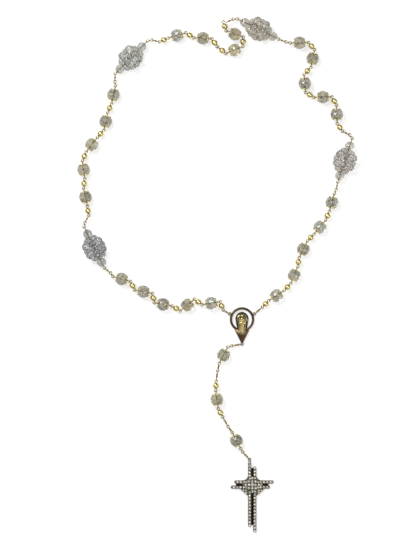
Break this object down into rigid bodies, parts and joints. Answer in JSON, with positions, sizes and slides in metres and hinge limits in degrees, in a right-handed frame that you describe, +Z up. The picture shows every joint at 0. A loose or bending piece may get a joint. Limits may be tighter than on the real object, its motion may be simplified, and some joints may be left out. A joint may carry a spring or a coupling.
{
  "type": "rosary",
  "caption": "Crystal rosary in an open loop, with glass beads between small gold balls, woven bead clusters, a ring centrepiece with a veiled figure, and a stone-set crucifix.",
  "frame": {"origin": "centre of the centrepiece's open ring, on its flat back, at the level of the table that the rosary lies on", "axes": "+Y from the crucifix towards the far end of the loop, +Z up from the table, +X to the right"},
  "size_m": [0.1741, 0.3202, 0.0115],
  "materials": {
    "aurora_crystal": "faceted, iridescent coating",
    "clear_beads": "clear faceted",
    "pale_gold": "polished pale gold plating",
    "antique_bronze": "antique bronze gold",
    "antique_gold": "satin antique gold relief",
    "dark_setting": "dark gunmetal plating",
    "rhinestone": "clear cut stones"
  },
  "bodies": {
    "centrepiece": {"centrepiece_frame": "antique_bronze", "centrepiece_figure": "antique_gold"},
    "cluster_1": {"cluster_1": "clear_beads"},
    "cluster_2": {"cluster_2": "clear_beads"},
    "cluster_3": {"cluster_3": "clear_beads"},
    "cluster_4": {"cluster_4": "clear_beads"},
    "crucifix": {"crucifix_frame": "dark_setting", "crucifix_stones": "rhinestone"},
    "decade_1_ball_1": {"decade_1_ball_1": "pale_gold"},
    "decade_1_ball_2": {"decade_1_ball_2": "pale_gold"},
    "decade_1_ball_3": {"decade_1_ball_3": "pale_gold"},
    "decade_1_ball_4": {"decade_1_ball_4": "pale_gold"},
    "decade_1_ball_5": {"decade_1_ball_5": "pale_gold"},
    "decade_1_crystal_1": {"decade_1_crystal_1": "aurora_crystal"},
    "decade_1_crystal_2": {"decade_1_crystal_2": "aurora_crystal"},
    "decade_1_crystal_3": {"decade_1_crystal_3": "aurora_crystal"},
    "decade_1_crystal_4": {"decade_1_crystal_4": "aurora_crystal"},
    "decade_1_crystal_5": {"decade_1_crystal_5": "aurora_crystal"},
    "decade_2_ball_1": {"decade_2_ball_1": "pale_gold"},
    "decade_2_ball_2": {"decade_2_ball_2": "pale_gold"},
    "decade_2_ball_3": {"decade_2_ball_3": "pale_gold"},
    "decade_2_ball_4": {"decade_2_ball_4": "pale_gold"},
    "decade_2_ball_5": {"decade_2_ball_5": "pale_gold"},
    "decade_2_crystal_1": {"decade_2_crystal_1": "aurora_crystal"},
    "decade_2_crystal_2": {"decade_2_crystal_2": "aurora_crystal"},
    "decade_2_crystal_3": {"decade_2_crystal_3": "aurora_crystal"},
    "decade_2_crystal_4": {"decade_2_crystal_4": "aurora_crystal"},
    "decade_2_crystal_5": {"decade_2_crystal_5": "aurora_crystal"},
    "decade_3_ball_1": {"decade_3_ball_1": "pale_gold"},
    "decade_3_ball_2": {"decade_3_ball_2": "pale_gold"},
    "decade_3_ball_3": {"decade_3_ball_3": "pale_gold"},
    "decade_3_ball_4": {"decade_3_ball_4": "pale_gold"},
    "decade_3_crystal_1": {"decade_3_crystal_1": "aurora_crystal"},
    "decade_3_crystal_2": {"decade_3_crystal_2": "aurora_crystal"},
    "decade_3_tangle": {"decade_3_tangle": "aurora_crystal"},
    "decade_4_ball_1": {"decade_4_ball_1": "pale_gold"},
    "decade_4_ball_2": {"decade_4_ball_2": "pale_gold"},
    "decade_4_ball_3": {"decade_4_ball_3": "pale_gold"},
    "decade_4_ball_4": {"decade_4_ball_4": "pale_gold"},
    "decade_4_ball_5": {"decade_4_ball_5": "pale_gold"},
    "decade_4_crystal_1": {"decade_4_crystal_1": "aurora_crystal"},
    "decade_4_crystal_2": {"decade_4_crystal_2": "aurora_crystal"},
    "decade_4_crystal_3": {"decade_4_crystal_3": "aurora_crystal"},
    "decade_4_crystal_4": {"decade_4_crystal_4": "aurora_crystal"},
    "decade_4_crystal_5": {"decade_4_crystal_5": "aurora_crystal"},
    "decade_5_ball_1": {"decade_5_ball_1": "pale_gold"},
    "decade_5_ball_2": {"decade_5_ball_2": "pale_gold"},
    "decade_5_ball_3": {"decade_5_ball_3": "pale_gold"},
    "decade_5_ball_4": {"decade_5_ball_4": "pale_gold"},
    "decade_5_ball_5": {"decade_5_ball_5": "pale_gold"},
    "decade_5_crystal_1": {"decade_5_crystal_1": "aurora_crystal"},
    "decade_5_crystal_2": {"decade_5_crystal_2": "aurora_crystal"},
    "decade_5_crystal_3": {"decade_5_crystal_3": "aurora_crystal"},
    "decade_5_crystal_4": {"decade_5_crystal_4": "aurora_crystal"},
    "decade_5_crystal_5": {"decade_5_crystal_5": "aurora_crystal"},
    "pendant_ball_1": {"pendant_ball_1": "pale_gold"},
    "pendant_ball_2": {"pendant_ball_2": "pale_gold"},
    "pendant_crystal_1": {"pendant_crystal_1": "aurora_crystal"},
    "pendant_crystal_2": {"pendant_crystal_2": "aurora_crystal"},
    "pendant_crystal_3": {"pendant_crystal_3": "aurora_crystal"}
  },
  "joints": [
    {"name": "decade_1_ball_1_turn", "type": "hinge", "parent": "centrepiece", "child": "decade_1_ball_1", "pos_m": [-0.00763, 0.0034, 0.0012], "axis": [0, 0, 1], "range_deg": [0, 24]},
    {"name": "decade_1_crystal_1_lift", "type": "hinge", "parent": "decade_1_ball_1", "child": "decade_1_crystal_1", "pos_m": [-0.01453, 0.0109, 0.004], "axis": [0.1678, -0.9858, 0], "range_deg": [-25, 25]},
    {"name": "decade_1_ball_2_turn", "type": "hinge", "parent": "decade_1_crystal_1", "child": "decade_1_ball_2", "pos_m": [-0.02468, 0.00917, 0.004], "axis": [0, 0, 1], "range_deg": [0, 24]},
    {"name": "decade_1_crystal_2_lift", "type": "hinge", "parent": "decade_1_ball_2", "child": "decade_1_crystal_2", "pos_m": [-0.03027, 0.01194, 0.004], "axis": [-0.6383, 0.7698, 0], "range_deg": [-25, 25]},
    {"name": "decade_1_ball_3_turn", "type": "hinge", "parent": "decade_1_crystal_2", "child": "decade_1_ball_3", "pos_m": [-0.03819, 0.00537, 0.004], "axis": [0, 0, 1], "range_deg": [0, 24]},
    {"name": "decade_1_crystal_3_lift", "type": "hinge", "parent": "decade_1_ball_3", "child": "decade_1_crystal_3", "pos_m": [-0.04427, 0.00853, 0.004], "axis": [-0.1794, -0.9838, 0], "range_deg": [-25, 25]},
    {"name": "decade_1_ball_4_turn", "type": "hinge", "parent": "decade_1_crystal_3", "child": "decade_1_ball_4", "pos_m": [-0.0544, 0.01038, 0.004], "axis": [0, 0, 1], "range_deg": [0, 24]},
    {"name": "decade_1_crystal_4_lift", "type": "hinge", "parent": "decade_1_ball_4", "child": "decade_1_crystal_4", "pos_m": [-0.05638, 0.01637, 0.004], "axis": [0.1794, 0.9838, 0], "range_deg": [-25, 25]},
    {"name": "decade_1_ball_5_turn", "type": "hinge", "parent": "decade_1_crystal_4", "child": "decade_1_ball_5", "pos_m": [-0.06651, 0.01822, 0.004], "axis": [0, 0, 1], "range_deg": [0, 24]},
    {"name": "decade_1_crystal_5_lift", "type": "hinge", "parent": "decade_1_ball_5", "child": "decade_1_crystal_5", "pos_m": [-0.06994, 0.02385, 0.004], "axis": [-0.2645, -0.9644, 0], "range_deg": [-25, 25]},
    {"name": "cluster_1_turn", "type": "hinge", "parent": "decade_1_crystal_5", "child": "cluster_1", "pos_m": [-0.07987, 0.02657, 0.004], "axis": [0, 0, 1], "range_deg": [0, 24]},
    {"name": "decade_2_ball_1_lift", "type": "hinge", "parent": "cluster_1", "child": "decade_2_ball_1", "pos_m": [-0.09539, 0.06342, 0.004], "axis": [0.8857, -0.4642, 0], "range_deg": [-25, 25]},
    {"name": "decade_2_crystal_1_turn", "type": "hinge", "parent": "decade_2_ball_1", "child": "decade_2_crystal_1", "pos_m": [-0.09568, 0.07015, 0.004], "axis": [0, 0, -1], "range_deg": [0, 24]},
    {"name": "decade_2_ball_2_lift", "type": "hinge", "parent": "decade_2_crystal_1", "child": "decade_2_ball_2", "pos_m": [-0.09788, 0.08022, 0.004], "axis": [-0.9769, -0.2137, 0], "range_deg": [-25, 25]},
    {"name": "decade_2_crystal_2_turn", "type": "hinge", "parent": "decade_2_ball_2", "child": "decade_2_crystal_2", "pos_m": [-0.09731, 0.08704, 0.004], "axis": [0, 0, -1], "range_deg": [0, 24]},
    {"name": "decade_2_ball_3_lift", "type": "hinge", "parent": "decade_2_crystal_2", "child": "decade_2_ball_3", "pos_m": [-0.09863, 0.09726, 0.004], "axis": [0.9918, 0.1278, 0], "range_deg": [-25, 25]},
    {"name": "decade_2_crystal_3_turn", "type": "hinge", "parent": "decade_2_ball_3", "child": "decade_2_crystal_3", "pos_m": [-0.09648, 0.10369, 0.004], "axis": [0, 0, -1], "range_deg": [0, 24]},
    {"name": "decade_2_ball_4_lift", "type": "hinge", "parent": "decade_2_crystal_3", "child": "decade_2_ball_4", "pos_m": [-0.09019, 0.11185, 0.004], "axis": [-0.7917, 0.611, 0], "range_deg": [-25, 25]},
    {"name": "decade_2_crystal_4_turn", "type": "hinge", "parent": "decade_2_ball_4", "child": "decade_2_crystal_4", "pos_m": [-0.08558, 0.11698, 0.004], "axis": [0, 0, -1], "range_deg": [0, 24]},
    {"name": "decade_2_ball_5_lift", "type": "hinge", "parent": "decade_2_crystal_4", "child": "decade_2_ball_5", "pos_m": [-0.08332, 0.12703, 0.004], "axis": [0.9757, -0.2192, 0], "range_deg": [-25, 25]},
    {"name": "decade_2_crystal_5_turn", "type": "hinge", "parent": "decade_2_ball_5", "child": "decade_2_crystal_5", "pos_m": [-0.08083, 0.13345, 0.004], "axis": [0, 0, -1], "range_deg": [0, 24]},
    {"name": "cluster_2_lift", "type": "hinge", "parent": "decade_2_crystal_5", "child": "cluster_2", "pos_m": [-0.07857, 0.1435, 0.004], "axis": [-0.9757, 0.2192, 0], "range_deg": [-25, 25]},
    {"name": "decade_3_ball_1_turn", "type": "hinge", "parent": "cluster_2", "child": "decade_3_ball_1", "pos_m": [-0.05111, 0.17179, 0.004], "axis": [0, 0, -1], "range_deg": [0, 24]},
    {"name": "decade_3_crystal_1_lift", "type": "hinge", "parent": "decade_3_ball_1", "child": "decade_3_crystal_1", "pos_m": [-0.04469, 0.17433, 0.004], "axis": [0.298, -0.9546, 0], "range_deg": [-25, 25]},
    {"name": "decade_3_ball_2_lift", "type": "hinge", "parent": "decade_3_crystal_1", "child": "decade_3_ball_2", "pos_m": [-0.03582, 0.1771, 0.004], "axis": [-0.298, 0.9546, 0], "range_deg": [-25, 25]},
    {"name": "decade_3_crystal_2_turn", "type": "hinge", "parent": "decade_3_ball_2", "child": "decade_3_crystal_2", "pos_m": [-0.0299, 0.17422, 0.004], "axis": [0, 0, -1], "range_deg": [0, 24]},
    {"name": "decade_3_ball_3_lift", "type": "hinge", "parent": "decade_3_crystal_2", "child": "decade_3_ball_3", "pos_m": [-0.01961, 0.17374, 0.004], "axis": [-0.0464, -0.9989, 0], "range_deg": [-25, 25]},
    {"name": "decade_3_ball_4_lift", "type": "hinge", "parent": "decade_3_ball_3", "child": "decade_3_ball_4", "pos_m": [-0.01466, 0.1681, 0.004], "axis": [0.611, 0.7917, 0], "range_deg": [-25, 25]},
    {"name": "decade_3_tangle_lift", "type": "hinge", "parent": "decade_3_ball_4", "child": "decade_3_tangle", "pos_m": [-0.00906, 0.16487, 0.004], "axis": [0.3801, -0.9249, 0], "range_deg": [-25, 25]},
    {"name": "decade_5_ball_1_turn", "type": "hinge", "parent": "centrepiece", "child": "decade_5_ball_1", "pos_m": [0.00763, 0.0034, 0.0012], "axis": [0, 0, -1], "range_deg": [0, 24]},
    {"name": "decade_5_crystal_1_lift", "type": "hinge", "parent": "decade_5_ball_1", "child": "decade_5_crystal_1", "pos_m": [0.01737, 0.01225, 0.004], "axis": [-0.5533, 0.833, 0], "range_deg": [-25, 25]},
    {"name": "decade_5_ball_2_turn", "type": "hinge", "parent": "decade_5_crystal_1", "child": "decade_5_ball_2", "pos_m": [0.02595, 0.01794, 0.004], "axis": [0, 0, -1], "range_deg": [0, 24]},
    {"name": "decade_5_crystal_2_lift", "type": "hinge", "parent": "decade_5_ball_2", "child": "decade_5_crystal_2", "pos_m": [0.03046, 0.02308, 0.004], "axis": [0.9245, -0.3811, 0], "range_deg": [-25, 25]},
    {"name": "decade_5_ball_3_turn", "type": "hinge", "parent": "decade_5_crystal_2", "child": "decade_5_ball_3", "pos_m": [0.03438, 0.03261, 0.004], "axis": [0, 0, -1], "range_deg": [0, 24]},
    {"name": "decade_5_crystal_3_lift", "type": "hinge", "parent": "decade_5_ball_3", "child": "decade_5_crystal_3", "pos_m": [0.03579, 0.03932, 0.004], "axis": [-0.8957, 0.4447, 0], "range_deg": [-25, 25]},
    {"name": "decade_5_ball_4_turn", "type": "hinge", "parent": "decade_5_crystal_3", "child": "decade_5_ball_4", "pos_m": [0.04037, 0.04855, 0.004], "axis": [0, 0, -1], "range_deg": [0, 24]},
    {"name": "decade_5_crystal_4_lift", "type": "hinge", "parent": "decade_5_ball_4", "child": "decade_5_crystal_4", "pos_m": [0.04513, 0.05354, 0.004], "axis": [0.7727, -0.6348, 0], "range_deg": [-25, 25]},
    {"name": "decade_5_ball_5_turn", "type": "hinge", "parent": "decade_5_crystal_4", "child": "decade_5_ball_5", "pos_m": [0.05167, 0.06149, 0.004], "axis": [0, 0, -1], "range_deg": [0, 24]},
    {"name": "decade_5_crystal_5_lift", "type": "hinge", "parent": "decade_5_ball_5", "child": "decade_5_crystal_5", "pos_m": [0.0542, 0.06791, 0.004], "axis": [-0.9593, 0.2824, 0], "range_deg": [-25, 25]},
    {"name": "cluster_4_turn", "type": "hinge", "parent": "decade_5_crystal_5", "child": "cluster_4", "pos_m": [0.05711, 0.07779, 0.004], "axis": [0, 0, -1], "range_deg": [0, 24]},
    {"name": "decade_4_ball_1_lift", "type": "hinge", "parent": "cluster_4", "child": "decade_4_ball_1", "pos_m": [0.06302, 0.11597, 0.004], "axis": [0.4259, 0.9048, 0], "range_deg": [-25, 25]},
    {"name": "decade_4_crystal_1_turn", "type": "hinge", "parent": "decade_4_ball_1", "child": "decade_4_crystal_1", "pos_m": [0.05875, 0.12124, 0.004], "axis": [0, 0, -1], "range_deg": [0, 24]},
    {"name": "decade_4_ball_2_lift", "type": "hinge", "parent": "decade_4_crystal_1", "child": "decade_4_ball_2", "pos_m": [0.05843, 0.13154, 0.004], "axis": [-0.9995, -0.0313, 0], "range_deg": [-25, 25]},
    {"name": "decade_4_crystal_2_turn", "type": "hinge", "parent": "decade_4_ball_2", "child": "decade_4_crystal_2", "pos_m": [0.05565, 0.13775, 0.004], "axis": [0, 0, -1], "range_deg": [0, 24]},
    {"name": "decade_4_ball_3_lift", "type": "hinge", "parent": "decade_4_crystal_2", "child": "decade_4_ball_3", "pos_m": [0.04535, 0.13743, 0.004], "axis": [-0.0313, 0.9995, 0], "range_deg": [-25, 25]},
    {"name": "decade_4_crystal_3_lift", "type": "hinge", "parent": "decade_4_ball_3", "child": "decade_4_crystal_3", "pos_m": [0.03917, 0.14137, 0.004], "axis": [-0.9965, -0.0836, 0], "range_deg": [-25, 25]},
    {"name": "decade_4_ball_4_lift", "type": "hinge", "parent": "decade_4_crystal_3", "child": "decade_4_ball_4", "pos_m": [0.03839, 0.15063, 0.004], "axis": [0.9965, 0.0836, 0], "range_deg": [-25, 25]},
    {"name": "decade_4_crystal_4_turn", "type": "hinge", "parent": "decade_4_ball_4", "child": "decade_4_crystal_4", "pos_m": [0.0425, 0.15579, 0.004], "axis": [0, 0, -1], "range_deg": [0, 24]},
    {"name": "decade_4_ball_5_lift", "type": "hinge", "parent": "decade_4_crystal_4", "child": "decade_4_ball_5", "pos_m": [0.04467, 0.16585, 0.004], "axis": [-0.9774, 0.2114, 0], "range_deg": [-25, 25]},
    {"name": "decade_4_crystal_5_turn", "type": "hinge", "parent": "decade_4_ball_5", "child": "decade_4_crystal_5", "pos_m": [0.04111, 0.17136, 0.004], "axis": [0, 0, -1], "range_deg": [0, 24]},
    {"name": "cluster_3_lift", "type": "hinge", "parent": "decade_4_crystal_5", "child": "cluster_3", "pos_m": [0.03081, 0.17104, 0.004], "axis": [-0.0313, 0.9995, 0], "range_deg": [-25, 25]},
    {"name": "pendant_crystal_1_turn", "type": "hinge", "parent": "centrepiece", "child": "pendant_crystal_1", "pos_m": [0, -0.01525, 0.0012], "axis": [0, 0, 1], "range_deg": [-30, 30]},
    {"name": "pendant_ball_1_lift", "type": "hinge", "parent": "pendant_crystal_1", "child": "pendant_ball_1", "pos_m": [-0.01363, -0.02611, 0.004], "axis": [0.8829, -0.4695, 0], "range_deg": [-30, 30]},
    {"name": "pendant_crystal_2_turn", "type": "hinge", "parent": "pendant_ball_1", "child": "pendant_crystal_2", "pos_m": [-0.01636, -0.0439, 0.004], "axis": [0, 0, -1], "range_deg": [-30, 30]},
    {"name": "pendant_ball_2_lift", "type": "hinge", "parent": "pendant_crystal_2", "child": "pendant_ball_2", "pos_m": [-0.01493, -0.0541, 0.004], "axis": [-0.9903, -0.1392, 0], "range_deg": [-30, 30]},
    {"name": "pendant_crystal_3_turn", "type": "hinge", "parent": "pendant_ball_2", "child": "pendant_crystal_3", "pos_m": [-0.01202, -0.0603, 0.004], "axis": [0, 0, 1], "range_deg": [-30, 30]},
    {"name": "crucifix_turn", "type": "hinge", "parent": "pendant_crystal_3", "child": "crucifix", "pos_m": [0.00472, -0.0868, 0.0012], "axis": [0, 0, 1], "range_deg": [-30, 30]}
  ]
}
